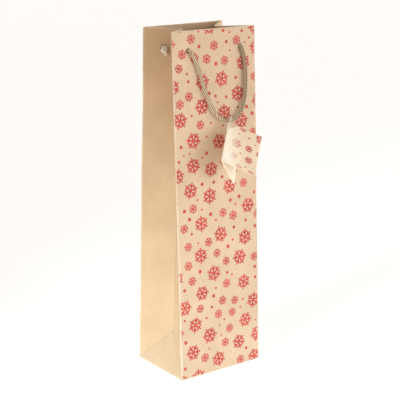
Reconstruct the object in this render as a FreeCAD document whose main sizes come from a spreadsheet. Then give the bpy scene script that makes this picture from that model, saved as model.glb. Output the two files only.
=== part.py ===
import FreeCAD, Part
import Sketcher
import math
import os

# Wine gift bag: a gusseted paper carrier that stands on a flat base, with two rope handles and a folded tag.
# Millimetres. Origin at the centre of the footprint, +Z up, the front panel towards -Y.

DIMS = [
    # the bag
    ("bag_width", 113.0),
    ("bag_depth", 90.0),
    ("bag_height", 400.0),
    ("top_depth", 57.8),
    ("paper", 0.3),
    ("fold_gap", 0.6),
    # how far the middle fold of a side lies inside the side's own plane
    ("fold_in_foot", 16.6),
    ("fold_in_top", 34.5),
    # clearances of a half side: at the panel, and at the middle fold at foot and top
    ("side_start", 1.6),
    ("fold_clear_foot", 2.9),
    ("fold_clear_top", 0.8),
    ("diagonal_clear", 0.8),
    # the turned-in top edge
    ("hem_depth", 45.0),
    ("hem_margin", 3.2),
    ("card_depth", 38.0),
    ("card_thick", 0.5),
    ("side_hem_start", 5.0),
    ("side_hem_gap", 0.15),
    # the base
    ("flap_overlap", 12.0),
    ("flap_corner", 12.0),
    ("side_flap_reach", 38.0),
    ("side_flap_margin", 1.2),
    ("base_card_margin", 2.2),
    ("base_card_thick", 0.6),
    ("triangle_lean", 24.3),
    ("triangle_foot", 1.4),
    ("triangle_clear", 0.7),
    ("seam_width", 15.0),
    # handles
    ("hole_height", 378.0),
    ("hole_from_edge", 21.0),
    ("side_hole_from_edge", 24.0),
    ("hole_radius", 3.0),
    ("cord_radius", 2.25),
    ("cord_off_panel", 2.9),
    ("front_loop_tilt", 2.2),
    ("knot_radius", 4.0),
    ("knot_tail", 9.0),
    # tag and its string
    ("string_radius", 0.6),
    ("string_knot_radius", 1.7),
    ("tag_width", 42.0),
    ("tag_height", 56.0),
    ("tag_thick", 0.4),
    ("tag_spine_gap", 0.8),
    ("tag_hole_in", 4.0),
    ("tag_hole_radius", 2.2),
    ("tag_corner_cut", 10.0),
    ("tag_open", 41.4),
]

# Routes of the handle cords, in the plane of the loop: across the bag, and down from the holes.
FRONT_LOOP = [
    (-33.2, 2.4), (-25.5, 18), (-18.8, 42), (-7.5, 71), (10.5, 84), (30, 78), (38.4, 56), (40, 31), (39, 13),
    (35.2, 2.3),
]
BACK_LOOP = [
    (-33.9, 2.5), (-31.5, 18), (-30.5, 40), (-23, 64), (-9, 79), (9.5, 80), (24, 65), (30, 40), (32, 17),
    (34.3, 2.5),
]

# The tag hangs by its upper spine corner; its spine and its back leaf point along these directions.
TAG_CORNER = FreeCAD.Vector(6.9, -47.8, 296.8)
TAG_SPINE = FreeCAD.Vector(-0.591, -0.530, -0.608)
TAG_LEAF = FreeCAD.Vector(0.568, 0.262, -0.780)
STRING_ACROSS = 14.0  # where the string goes round the front handle
STRING_HALF_WIDTH = 4.5
STRING_BEHIND = 4.2
STRING_KNOT_AT = 5.0

doc = FreeCAD.newDocument("wine_gift_bag")
dims = doc.addObject("Spreadsheet::Sheet", "Dims")
for row, (alias, number) in enumerate(DIMS, start=1):
    dims.set(f"A{row}", alias)
    dims.set(f"B{row}", str(number))
    dims.setAlias(f"B{row}", alias)
doc.recompute()
d = dict(DIMS)

LEAN = math.degrees(math.asin((d["bag_depth"] - d["top_depth"]) / 2 / d["bag_height"]))
TURN_BACK = FreeCAD.Rotation(FreeCAD.Vector(0, 0, 1), 180)
LEAN_BACK = FreeCAD.Rotation(FreeCAD.Vector(1, 0, 0), -LEAN)
nodes = {}


def value(expression):
    """The number that an expression over the sheet's cells stands for."""
    return float(dims.evalExpression(expression))


def new_body(label, base=("0", "0", "0"), rotation=None, half_turn=False):
    """A body at a base point given by expressions; half_turn puts it on the back of the bag."""
    body = doc.addObject("PartDesign::Body", label)
    sign = "-1 * " if half_turn else ""
    rotation = rotation or FreeCAD.Rotation()
    body.Placement = FreeCAD.Placement(FreeCAD.Vector(), TURN_BACK * rotation if half_turn else rotation)
    body.setExpression("Placement.Base.x", f"{sign}({base[0]})")
    body.setExpression("Placement.Base.y", f"{sign}({base[1]})")
    body.setExpression("Placement.Base.z", base[2])
    nodes[label] = body
    return body


def new_sketch(body, plane, offset="0", rotation=None):
    """A sketch on one of the body's own origin planes, moved along the plane's normal."""
    sketch = body.newObject("Sketcher::SketchObject", f"{body.Name}_sketch")
    origin = next(f for f in body.Origin.OriginFeatures if f.Role == plane)
    sketch.AttachmentSupport = [(origin, "")]
    sketch.MapMode = "FlatFace"
    if rotation:
        sketch.AttachmentOffset = FreeCAD.Placement(FreeCAD.Vector(), rotation)
    if offset != "0":
        sketch.setExpression("AttachmentOffset.Base.z", offset)
    return sketch


def pin_point(sketch, geometry, end, x, y):
    """Ties a point of a sketch to two expressions."""
    for kind, axis, expression in (("DistanceX", -2, x), ("DistanceY", -1, y)):
        number = value(expression)
        if abs(number) < 1e-9:
            sketch.addConstraint(Sketcher.Constraint("PointOnObject", geometry, end, axis))
            continue
        index = sketch.addConstraint(Sketcher.Constraint(kind, -1, 1, geometry, end, number))
        sketch.setExpression(f"Constraints[{index}]", expression)


def add_outline(sketch, corners):
    """A closed outline through corners given as pairs of expressions."""
    points = [FreeCAD.Vector(value(x), value(y), 0) for x, y in corners]
    count = len(points)
    first = sketch.GeometryCount
    for i in range(count):
        sketch.addGeometry(Part.LineSegment(points[i], points[(i + 1) % count]), False)
    for i in range(count):
        after = first + (i + 1) % count
        sketch.addConstraint(Sketcher.Constraint("Coincident", first + i, 2, after, 1))
    for i, (x, y) in enumerate(corners):
        pin_point(sketch, first + i, 1, x, y)


def add_circle(sketch, x, y, radius):
    """A circle with its centre and radius tied to expressions."""
    centre = FreeCAD.Vector(value(x), value(y), 0)
    circle = sketch.addGeometry(Part.Circle(centre, FreeCAD.Vector(0, 0, 1), value(radius)), False)
    pin_point(sketch, circle, 3, x, y)
    index = sketch.addConstraint(Sketcher.Constraint("Radius", circle, value(radius)))
    sketch.setExpression(f"Constraints[{index}]", radius)


def pad(body, sketch, length, reverse=False, both_ways=False):
    """The body's first solid: its sketch drawn out to a length given as an expression."""
    feature = body.newObject("PartDesign::Pad", f"{body.Name}_pad")
    feature.Profile = sketch
    feature.setExpression("Length", length)
    feature.Reversed = reverse
    if both_ways:
        feature.SideType = "Symmetric"
    body.Tip = feature
    return feature


def cut_through(body, sketch):
    """A pocket right through the body, to both sides of the sketch."""
    feature = body.newObject("PartDesign::Pocket", f"{body.Name}_pocket")
    feature.Profile = sketch
    feature.SideType = "Symmetric"
    feature.Type = "Length"
    feature.Length = 400.0
    body.Tip = feature
    return feature


def rectangle(x0, y0, x1, y1):
    """The corners of a rectangle, for add_outline."""
    return [(x0, y0), (x1, y0), (x1, y1), (x0, y1)]


# ---------------------------------------------------------------- base
half_w = "(Dims.bag_width / 2)"
half_d = "(Dims.bag_depth / 2)"
in_w = f"({half_w} - Dims.paper)"
second = "(2 * Dims.paper)"

flap = new_body("base_front_flap")
sketch = new_sketch(flap, "XY_Plane")
shoulder = "(Dims.flap_overlap - Dims.flap_corner)"
add_outline(sketch, [
    (f"-{half_w}", f"-{half_d}"), (half_w, f"-{half_d}"), (half_w, shoulder),
    (f"{half_w} - Dims.flap_corner", "Dims.flap_overlap"),
    (f"-({half_w} - Dims.flap_corner)", "Dims.flap_overlap"), (f"-{half_w}", shoulder),
])
pad(flap, sketch, "Dims.paper")

# The back flap lies on the ground at the back and steps up over the front flap's free edge.
flap = new_body("base_back_flap")
sketch = new_sketch(flap, "YZ_Plane")
add_outline(sketch, [
    (half_d, "0"), (half_d, "Dims.paper"), ("Dims.flap_overlap + 2.6", "Dims.paper"),
    ("Dims.flap_overlap + 1.6", second), ("-Dims.flap_overlap", second), ("-Dims.flap_overlap", "Dims.paper"),
    ("Dims.flap_overlap + 0.8", "Dims.paper"), ("Dims.flap_overlap + 1.8", "0"),
])
pad(flap, sketch, "Dims.bag_width", both_ways=True)

for label, sign in (("base_left_flap", "-"), ("base_right_flap", "")):
    flap = new_body(label)
    sketch = new_sketch(flap, "XY_Plane", offset=second)
    edge = f"({half_d} - Dims.side_flap_margin)"
    tip = f"({in_w} - Dims.side_flap_reach)"
    add_outline(sketch, [
        (f"{sign}{in_w}", f"-{edge}"), (f"{sign}({in_w} - 6)", f"-{edge}"),
        (f"{sign}{tip}", f"-({edge} - Dims.side_flap_reach + 6)"),
        (f"{sign}{tip}", f"{edge} - Dims.side_flap_reach + 6"),
        (f"{sign}({in_w} - 6)", edge), (f"{sign}{in_w}", edge),
    ])
    pad(flap, sketch, "Dims.paper")

card = new_body("base_card")
sketch = new_sketch(card, "XY_Plane", offset="3 * Dims.paper")
card_w = f"({half_w} - Dims.base_card_margin)"
card_d = f"({half_d} - Dims.base_card_margin)"
add_outline(sketch, rectangle(f"-{card_w}", f"-{card_d}", card_w, card_d))
pad(card, sketch, "Dims.base_card_thick")

# A triangle of each side stays on the base: it leans in from the base edge to where the middle fold ends.
for label, half_turn in (("left_base_triangle", False), ("right_base_triangle", True)):
    upright = FreeCAD.Rotation(FreeCAD.Vector(0, 1, 0), d["triangle_lean"]) * FreeCAD.Rotation(
        FreeCAD.Vector(0, -1, 0), FreeCAD.Vector(0, 0, 1), FreeCAD.Vector(-1, 0, 0), "XYZ")
    body = new_body(label, (f"-{half_w}", "0", "0"), upright, half_turn)
    sketch = new_sketch(body, "XY_Plane")
    foot = f"({half_d} - Dims.triangle_foot - Dims.triangle_clear)"
    add_outline(sketch, [(f"-{foot}", "Dims.triangle_foot"), (foot, "Dims.triangle_foot"),
                         ("0", f"{half_d} - Dims.triangle_clear")])
    pad(body, sketch, "Dims.paper", reverse=True)

# ---------------------------------------------------------------- front and back
hole_x = f"({half_w} - Dims.hole_from_edge)"
hem_x = f"({half_w} - Dims.hem_margin)"


def panel_body(label, half_turn):
    """A body in a panel's own frame: X across, Z up the panel, +Y from its outer face into the bag."""
    return new_body(label, ("0", f"-{half_d}", "0"), LEAN_BACK, half_turn)


def punch_panel(body):
    """The two handle holes of a panel, its card strip or its hem."""
    sketch = new_sketch(body, "XZ_Plane")
    for sign in ("-", ""):
        add_circle(sketch, f"{sign}{hole_x}", "Dims.hole_height", "Dims.hole_radius")
    cut_through(body, sketch)


for side, half_turn in (("front", False), ("back", True)):
    panel = panel_body(f"{side}_panel", half_turn)
    sketch = new_sketch(panel, "XZ_Plane")
    add_outline(sketch, rectangle(f"-{half_w}", "Dims.fold_gap", half_w, "Dims.bag_height"))
    pad(panel, sketch, "Dims.paper", reverse=True)
    punch_panel(panel)

    strip = panel_body(f"{side}_card", half_turn)
    sketch = new_sketch(strip, "XZ_Plane", offset="-Dims.paper")
    strip_top = "(Dims.bag_height - 1.5)"
    add_outline(sketch, rectangle(f"-{hem_x}", f"{strip_top} - Dims.card_depth", hem_x, strip_top))
    pad(strip, sketch, "Dims.card_thick", reverse=True)
    punch_panel(strip)

    # The hem comes over the top of the card strip and down behind it.
    hem = panel_body(f"{side}_hem", half_turn)
    sketch = new_sketch(hem, "YZ_Plane")
    behind = "(Dims.paper + Dims.card_thick)"
    inner = "(2 * Dims.paper + Dims.card_thick)"
    add_outline(sketch, [
        ("Dims.paper", "Dims.bag_height"), (inner, "Dims.bag_height"),
        (inner, "Dims.bag_height - Dims.hem_depth"), (behind, "Dims.bag_height - Dims.hem_depth"),
        (behind, "Dims.bag_height - Dims.paper"), ("Dims.paper", "Dims.bag_height - Dims.paper"),
    ])
    pad(hem, sketch, f"2 * {hem_x}", both_ways=True)
    punch_panel(hem)

seam = panel_body("back_seam_flap", True)
sketch = new_sketch(seam, "XZ_Plane", offset="-Dims.paper")
seam_top = "(Dims.bag_height - Dims.hem_depth - 3)"
add_outline(sketch, rectangle(f"{hem_x} - Dims.seam_width", "4", hem_x, seam_top))
pad(seam, sketch, "Dims.paper", reverse=True)

# ---------------------------------------------------------------- half sides
half_top = "(Dims.top_depth / 2)"


def fold_at(height):
    """Where the middle fold lies at a height, in from the panel's side edge and across from the panel."""
    share = f"(({height}) / Dims.bag_height)"
    inward = f"(Dims.fold_in_foot + (Dims.fold_in_top - Dims.fold_in_foot) * {share})"
    across = f"({half_d} + ({half_top} - {half_d}) * {share})"
    return inward, across


def strip_section(body, height, hand, start, end, near, far):
    """The cut through a strip of a half side at one height, as a thin quadrilateral."""
    inward, across = fold_at(height)
    angle = f"atan({inward} / {across})"
    sketch = new_sketch(body, "XY_Plane", offset=height)
    corners = []
    for along, out in ((start, near), (end, near), (end, far), (start, far)):
        x = f"{hand} * (({along}) * sin({angle}) + ({out}) * cos({angle}))"
        y = f"({along}) * cos({angle}) - ({out}) * sin({angle})"
        corners.append((x, y))
    add_outline(sketch, corners)
    return sketch


def twisted_strip(body, low, high, hand, start, ends, near, far):
    """A strip that turns evenly between two heights, as the half sides do."""
    feature = body.newObject("PartDesign::AdditiveLoft", f"{body.Name}_loft")
    sections = [strip_section(body, z, hand, start, end, near, far) for z, end in zip((low, high), ends)]
    feature.Profile = sections[0]
    feature.Sections = [sections[1]]
    feature.Ruled = True
    body.Tip = feature
    return feature


def fold_radius(height):
    """How wide a half side is at a height, from the panel's edge to the middle fold."""
    inward, across = fold_at(height)
    return f"sqrt({inward} ^ 2 + {across} ^ 2)"


hole_in, hole_across = fold_at("Dims.hole_height")
HOLE_ANGLE = math.atan(value(hole_in) / value(hole_across))


def side_point(along, out, height, hand):
    """A point on a half side in its own frame: along it from the panel, and out from its middle surface."""
    x = hand * (along * math.sin(HOLE_ANGLE) + out * math.cos(HOLE_ANGLE))
    return FreeCAD.Vector(x, along * math.cos(HOLE_ANGLE) - out * math.sin(HOLE_ANGLE), height)


def punch_side(body, hand):
    """The handle's hole, square to the half side."""
    centre = side_point(d["side_hole_from_edge"], 0, d["hole_height"], hand)
    drill = doc.addObject("Part::Cylinder", f"{body.Name}_drill")
    drill.setExpression("Radius", "Dims.hole_radius")
    drill.Height = 8
    axis = side_point(d["side_hole_from_edge"], 1, d["hole_height"], hand) - centre
    turn = FreeCAD.Rotation(FreeCAD.Vector(0, 0, 1), axis)
    drill.Placement = body.Placement * FreeCAD.Placement(centre - axis * 4, turn)
    cut = doc.addObject("Part::Cut", f"{body.Label}_punched")
    cut.Base = body
    cut.Tool = drill
    label = body.Label
    body.Label = f"{label}_blank"
    cut.Label = label
    nodes[label] = cut


def cord_direction(hand):
    """From the hole in the panel to the hole in the half side, in the half side's frame."""
    panel_hole = FreeCAD.Vector(hand * d["hole_from_edge"], d["paper"] + d["card_thick"] / 2, d["hole_height"])
    side_hole = side_point(d["side_hole_from_edge"], 0, d["hole_height"], hand)
    return panel_hole, side_hole, (side_hole - panel_hole).normalize()


def round_piece(name, kind, placement, radius, height=None):
    """A cylinder or a sphere."""
    piece = doc.addObject(kind, name)
    piece.setExpression("Radius", radius)
    if height:
        piece.Height = height
    piece.Placement = placement
    return piece


def joined(label, pieces):
    """One sub-part fused from several pieces."""
    fuse = doc.addObject("Part::MultiFuse", label)
    fuse.Shapes = pieces
    nodes[label] = fuse


STUB = 1.2  # how far a knot's cord shows on the inner face of a half side
UP = FreeCAD.Vector(0, 0, 1)
paper_half = "(Dims.paper / 2)"
pivots = {}

for side, half_turn in (("front", False), ("back", True)):
    for place, hand in (("left", 1), ("right", -1)):
        # Turned to the back, a left half side becomes a right one.
        name = f"{side}_{place}" if not half_turn else f"{side}_{'right' if place == 'left' else 'left'}"
        corner = (f"{-hand} * {half_w}", f"-{half_d}", "0")
        body = new_body(f"{name}_side", corner, LEAN_BACK, half_turn)
        ends = (f"{fold_radius('0')} - Dims.fold_clear_foot",
                f"{fold_radius('Dims.bag_height')} - Dims.fold_clear_top")
        twisted_strip(body, "0", "Dims.bag_height", hand, "Dims.side_start", ends, f"-{paper_half}", paper_half)
        # Cut off below the diagonal crease, where the base triangle begins.
        sketch = new_sketch(body, "YZ_Plane")
        add_outline(sketch, [("-3", "Dims.diagonal_clear - 3"), ("60", "60 + Dims.diagonal_clear"),
                             ("60", "-10"), ("-3", "-10")])
        cut_through(body, sketch)
        doc.recompute()
        frame = FreeCAD.Placement(body.Placement)
        punch_side(body, hand)

        hem = new_body(f"{name}_side_hem", corner, LEAN_BACK, half_turn)
        low = "(Dims.bag_height - Dims.hem_depth)"
        ends = (f"{fold_radius(low)} - 2.5", f"{fold_radius('Dims.bag_height')} - 2.5")
        near = f"({paper_half} + Dims.side_hem_gap)"
        twisted_strip(hem, low, "Dims.bag_height - 0.2", hand, "Dims.side_hem_start", ends, near,
                      f"({near} + Dims.paper)")
        doc.recompute()
        punch_side(hem, hand)

        # The cord comes in through the panel, crosses to the half side and is knotted on its far face.
        panel_hole, side_hole, along = cord_direction(hand)
        outside = panel_hole + along * (-(panel_hole.y + d["cord_off_panel"]) / along.y)
        pivots[name] = frame.multVec(outside)
        turn = FreeCAD.Rotation(UP, along)
        reach = (side_hole - outside).Length - STUB
        joined(f"{name}_lead", [
            round_piece(f"{name}_lead_run", "Part::Cylinder", frame * FreeCAD.Placement(outside, turn),
                        "Dims.cord_radius", reach),
            round_piece(f"{name}_lead_end", "Part::Sphere", frame * FreeCAD.Placement(outside, turn),
                        "Dims.cord_radius"),
        ])
        knot_at = side_hole + along * (d["knot_radius"] + 0.8)
        tail_turn = FreeCAD.Rotation(UP, along + FreeCAD.Vector(0.15 * hand, 0.2, -1.1))
        joined(f"{name}_knot", [
            round_piece(f"{name}_knot_stub", "Part::Cylinder",
                        frame * FreeCAD.Placement(side_hole - along * STUB, turn), "Dims.cord_radius",
                        STUB + d["knot_radius"]),
            round_piece(f"{name}_knot_ball", "Part::Sphere", frame * FreeCAD.Placement(knot_at, turn),
                        "Dims.knot_radius"),
            round_piece(f"{name}_knot_tail", "Part::Cylinder", frame * FreeCAD.Placement(knot_at, tail_turn),
                        "Dims.cord_radius", d["knot_tail"]),
        ])


# ---------------------------------------------------------------- cords
def corner_arc(before, corner, after):
    """The tangent arc at a corner of a route: its two ends, its middle and its radius."""
    into, out = corner - before, after - corner
    turn = into.getAngle(out)
    trim = 0.45 * min(into.Length, out.Length)
    radius = trim / math.tan(turn / 2)
    start = corner - into.normalize() * trim
    end = corner + out.normalize() * trim
    towards = ((start + end) / 2 - corner).normalize()
    middle = corner + towards * (radius / math.cos(turn / 2) - radius)
    return start, middle, end, radius


def tube(label, points, radius, placement):
    """A cord along straight runs joined by tangent arcs, in the XY plane of its placement."""
    body = doc.addObject("PartDesign::Body", label)
    body.Placement = placement
    nodes[label] = body
    path = new_sketch(body, "XY_Plane")
    here, tightest, length = points[0], math.inf, 0.0
    pieces = []
    for before, corner, after in zip(points, points[1:], points[2:]):
        start, middle, end, bend = corner_arc(before, corner, after)
        pieces.append(Part.LineSegment(here, start))
        pieces.append(Part.Arc(start, middle, end))
        here, tightest = end, min(tightest, bend)
    pieces.append(Part.LineSegment(here, points[-1]))
    for piece in pieces:
        path.addGeometry(piece, False)
        length += piece.length()
    for i in range(len(pieces)):
        path.addConstraint(Sketcher.Constraint("Block", i))
    ahead = (points[1] - points[0]).normalize()
    turn = FreeCAD.Rotation(FreeCAD.Vector(0, 0, 1), FreeCAD.Vector(), ahead, "ZXY")
    section = new_sketch(body, "XY_Plane", rotation=turn)
    section.AttachmentOffset = FreeCAD.Placement(points[0], turn)
    add_circle(section, "0", "0", radius)
    pipe = body.newObject("PartDesign::AdditivePipe", f"{label}_pipe")
    pipe.Profile = section
    pipe.Spine = (path, [f"Edge{i + 1}" for i in range(len(pieces))])
    body.Tip = pipe
    doc.recompute()
    expected = math.pi * value(radius) ** 2 * length
    print(f"{label}: length {length:.1f} mm, tightest bend {tightest:.1f} mm,"
          f" volume over section x length {body.Shape.Volume / expected:.4f}")
    return pieces


def loop_frame(side, tilt, half_turn):
    """The plane of a handle loop: X across the bag, Y down the panel, swung out by tilt about its holes."""
    centre = (pivots[f"{side}_left"] + pivots[f"{side}_right"]) / 2
    down = FreeCAD.Rotation(FreeCAD.Vector(1, 0, 0), -LEAN - tilt) * FreeCAD.Rotation(
        FreeCAD.Vector(1, 0, 0), FreeCAD.Vector(0, 0, -1), FreeCAD.Vector(0, 1, 0), "XYZ")
    return FreeCAD.Placement(centre, TURN_BACK * down if half_turn else down)


def route(points):
    """The points of a route as vectors in the plane of its loop or string."""
    return [FreeCAD.Vector(x, y, 0) for x, y in points]


front_frame = loop_frame("front", d["front_loop_tilt"], False)
front_pieces = tube("front_handle", route(FRONT_LOOP), "Dims.cord_radius", front_frame)
back_frame = loop_frame("back", 0, True)
tube("back_handle", route(BACK_LOOP), "Dims.cord_radius", back_frame)

# The string goes round the front handle where it hangs lowest.
plumb = Part.LineSegment(FreeCAD.Vector(STRING_ACROSS, 0, 0), FreeCAD.Vector(STRING_ACROSS, 120, 0))
crossings = [
    FreeCAD.Vector(hit.X, hit.Y, hit.Z)
    for p in front_pieces
    for hit in (p.intersect(plumb) or [])
    if hit.Y > 60
]
on_cord = front_frame.multVec(crossings[0])
tag_turn = FreeCAD.Rotation(TAG_LEAF, TAG_SPINE * -1, FreeCAD.Vector(), "YXZ")
tag_frame = FreeCAD.Placement(TAG_CORNER, tag_turn)
tag_hole = tag_frame.multVec(FreeCAD.Vector(d["tag_hole_in"], -d["tag_hole_in"], 0))
along = (tag_hole - on_cord).normalize()
square = (FreeCAD.Vector(1, 0, 0) - along * along.x).normalize()
string_turn = FreeCAD.Rotation(along, square.cross(along), square, "XZY")
string_frame = FreeCAD.Placement(on_cord, string_turn)
span = (tag_hole - on_cord).Length
knot_side = -STRING_HALF_WIDTH
half_knot = d["string_knot_radius"] - 0.3
tube("tag_string", route([
    (STRING_KNOT_AT + half_knot, knot_side), (span, knot_side), (span, -knot_side), (-STRING_BEHIND, -knot_side),
    (-STRING_BEHIND, knot_side), (STRING_KNOT_AT - half_knot, knot_side),
]), "Dims.string_radius", string_frame)
knot = round_piece("tag_knot", "Part::Sphere",
                   string_frame * FreeCAD.Placement(FreeCAD.Vector(STRING_KNOT_AT, knot_side, 0),
                                                    FreeCAD.Rotation()), "Dims.string_knot_radius")
nodes["tag_knot"] = knot

# ---------------------------------------------------------------- tag
leaf_left = "Dims.tag_spine_gap"
cut_corner = "Dims.tag_corner_cut"


def leaf(label, frame, outline, behind):
    """A leaf of the tag: its inner face is in the XY plane of its frame, and its spine runs along Y."""
    body = doc.addObject("PartDesign::Body", label)
    body.Placement = frame
    nodes[label] = body
    sketch = new_sketch(body, "XY_Plane")
    add_outline(sketch, outline)
    pad(body, sketch, "Dims.tag_thick", reverse=behind)
    return body


body = leaf("tag_back_leaf", tag_frame, rectangle(leaf_left, "-Dims.tag_height", "Dims.tag_width", "0"), True)
sketch = new_sketch(body, "XY_Plane")
add_circle(sketch, "Dims.tag_hole_in", "-Dims.tag_hole_in", "Dims.tag_hole_radius")
cut_through(body, sketch)

# The cover stands open about the spine.
open_turn = FreeCAD.Rotation(FreeCAD.Vector(0, 1, 0), -d["tag_open"])
cover_frame = tag_frame * FreeCAD.Placement(FreeCAD.Vector(), open_turn)
leaf("tag_cover_leaf", cover_frame, [
    (leaf_left, "-Dims.tag_height"), ("Dims.tag_width", "-Dims.tag_height"), ("Dims.tag_width", "0"),
    (cut_corner, "0"), (leaf_left, f"-({cut_corner} - {leaf_left})"),
], False)

# ---------------------------------------------------------------- checks and export
doc.recompute()
for item in doc.Objects:
    if "Invalid" in item.State or "Error" in item.State:
        raise RuntimeError(f"{item.Label} did not build: {item.State}")

os.makedirs("parts", exist_ok=True)
for label, item in nodes.items():
    shape = item.Shape
    if shape.isNull() or not shape.isValid() or len(shape.Solids) != 1:
        raise RuntimeError(f"{label} is not one valid solid")
    box = shape.BoundBox
    print(f"{label}: volume {shape.Volume:.1f}, x {box.XMin:.2f} {box.XMax:.2f},"
          f" y {box.YMin:.2f} {box.YMax:.2f}, z {box.ZMin:.2f} {box.ZMax:.2f}")
    shape.exportStep(f"parts/{label}.step")

pivots["string on cord"] = on_cord
pivots["tag hole"] = tag_hole
for name, point in pivots.items():
    print(f"{name}: {point.x:.3f} {point.y:.3f} {point.z:.3f}")
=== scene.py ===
"""The looks of the wine gift bag: paper sheets, print, rope handles and tag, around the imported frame.

Shapes are worked out in millimetres in the frame's own axes and written to meshes in metres.
"""

import math
import random

import bpy
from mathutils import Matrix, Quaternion, Vector, noise


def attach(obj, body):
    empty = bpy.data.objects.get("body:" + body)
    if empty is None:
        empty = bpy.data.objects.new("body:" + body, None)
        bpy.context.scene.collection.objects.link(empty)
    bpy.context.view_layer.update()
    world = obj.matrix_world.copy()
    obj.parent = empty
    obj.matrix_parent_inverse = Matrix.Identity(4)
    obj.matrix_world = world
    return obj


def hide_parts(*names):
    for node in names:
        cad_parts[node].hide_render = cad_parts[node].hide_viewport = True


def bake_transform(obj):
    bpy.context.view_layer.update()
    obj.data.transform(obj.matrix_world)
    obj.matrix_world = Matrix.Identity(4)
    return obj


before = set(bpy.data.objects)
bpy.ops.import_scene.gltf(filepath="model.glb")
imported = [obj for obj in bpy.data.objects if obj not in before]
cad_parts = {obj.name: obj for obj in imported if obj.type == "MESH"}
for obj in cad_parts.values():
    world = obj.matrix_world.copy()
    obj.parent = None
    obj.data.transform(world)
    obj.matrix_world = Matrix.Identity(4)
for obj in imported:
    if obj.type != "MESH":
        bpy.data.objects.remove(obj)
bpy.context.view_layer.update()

MM = 0.001

# -------- the bag's measures, in millimetres
HALF_W = 56.5
HALF_D = 45.0
HEIGHT = 400.0
TOP_HALF_D = 28.9
LEAN_SIN = (HALF_D - TOP_HALF_D) / HEIGHT
LEAN_COS = math.sqrt(1 - LEAN_SIN**2)
PAPER = 0.3
CARD = 0.5
FOLD_R = 0.45  # outer radius of the folds at the bag's upright edges
STRIP = 0.8  # how far a side's paper reaches round onto the panel's face
FOLD_IN_FOOT = 16.6
FOLD_IN_TOP = 34.5
HEM_DEPTH = 45.0
HOLE_X = 35.5
HOLE_S = 378.0
SIDE_HOLE = 24.0
SIDE_TOP = HEIGHT - 0.7  # where a side's outer face meets its rolled edge
GUSSET_LEAN = math.radians(24.3)  # of a base triangle, from upright
HOLE_R = 3.0
CORD_R = 2.25
KNUCKLE = Vector((34.814, -32.683, 377.81))
CELL = 1.25  # mesh spacing of the printed panels


# -------- small helpers
def smooth(x, low, high):
    """0 below low, 1 above high, smooth between."""
    t = min(max((x - low) / (high - low), 0.0), 1.0)
    return t * t * (3 - 2 * t)


def twist(p):
    """The bag stands slightly twisted: its mouth is narrower on the left than on the right."""
    return Vector((p.x, p.y * (1 + 0.042 * (p.x / HALF_W) * (p.z / HEIGHT)), p.z))


def warp(p):
    """The twist and the soft unevenness that real paper has, for a point of any paper sheet."""
    q = twist(p)
    calm = smooth(p.z, 4, 60)
    low = noise.noise_vector(p * 0.011 + Vector((3.1, 7.7, 1.9)))
    fine = noise.noise_vector(p * 0.034 + Vector((9.2, 4.4, 6.3)))
    q.x += calm * (0.55 * low.x + 0.14 * fine.x)
    q.y += calm * (0.75 * low.y + 0.20 * fine.y)
    q.z = max(q.z + calm * 0.35 * low.z, 0.0)
    return q


def half_turn(p):
    return Vector((-p.x, -p.y, p.z))


def mirror(p):
    return Vector((-p.x, p.y, p.z))


def panel_point(x, s, w):
    """A point of the front panel: across, up the panel, and in from its outer face."""
    return Vector((x, -HALF_D + s * LEAN_SIN + w * LEAN_COS, s * LEAN_COS - w * LEAN_SIN))


def fold_at(z):
    """Where a side's middle fold is at a height: in from the side edge, and across from the panel."""
    share = z / HEIGHT
    return FOLD_IN_FOOT + (FOLD_IN_TOP - FOLD_IN_FOOT) * share, HALF_D + (TOP_HALF_D - HALF_D) * share


def edge_point(a, b, z):
    """A point in the frame of the front left edge: inwards, across and up the edge."""
    return Vector((-HALF_W + a, -HALF_D + b * LEAN_COS + z * LEAN_SIN, -b * LEAN_SIN + z * LEAN_COS))


def steps(low, high, size):
    """Evenly spaced values from low to high, about size apart."""
    count = max(1, round((high - low) / size))
    return [low + (high - low) * i / count for i in range(count + 1)]


def ring_of(i, j):
    """The corners of a grid's cell, in order."""
    return (i, j), (i, j + 1), (i + 1, j + 1), (i + 1, j)


def cells_at(flags):
    """The cells of a grid that have a flagged corner."""
    return {(i, j) for i in range(len(flags) - 1) for j in range(len(flags[0]) - 1)
            if any(flags[a][b] for a, b in ring_of(i, j))}


def on_body(obj, body, *nodes, slot=None):
    """The piece rides on a body and stands for the CAD nodes."""
    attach(obj, body)
    if nodes:
        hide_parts(*nodes)
    return obj


def finish_mesh(name, mesh, material):
    obj = bpy.data.objects.new(name, mesh)
    bpy.context.scene.collection.objects.link(obj)
    mesh.materials.append(material)
    return obj


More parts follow.
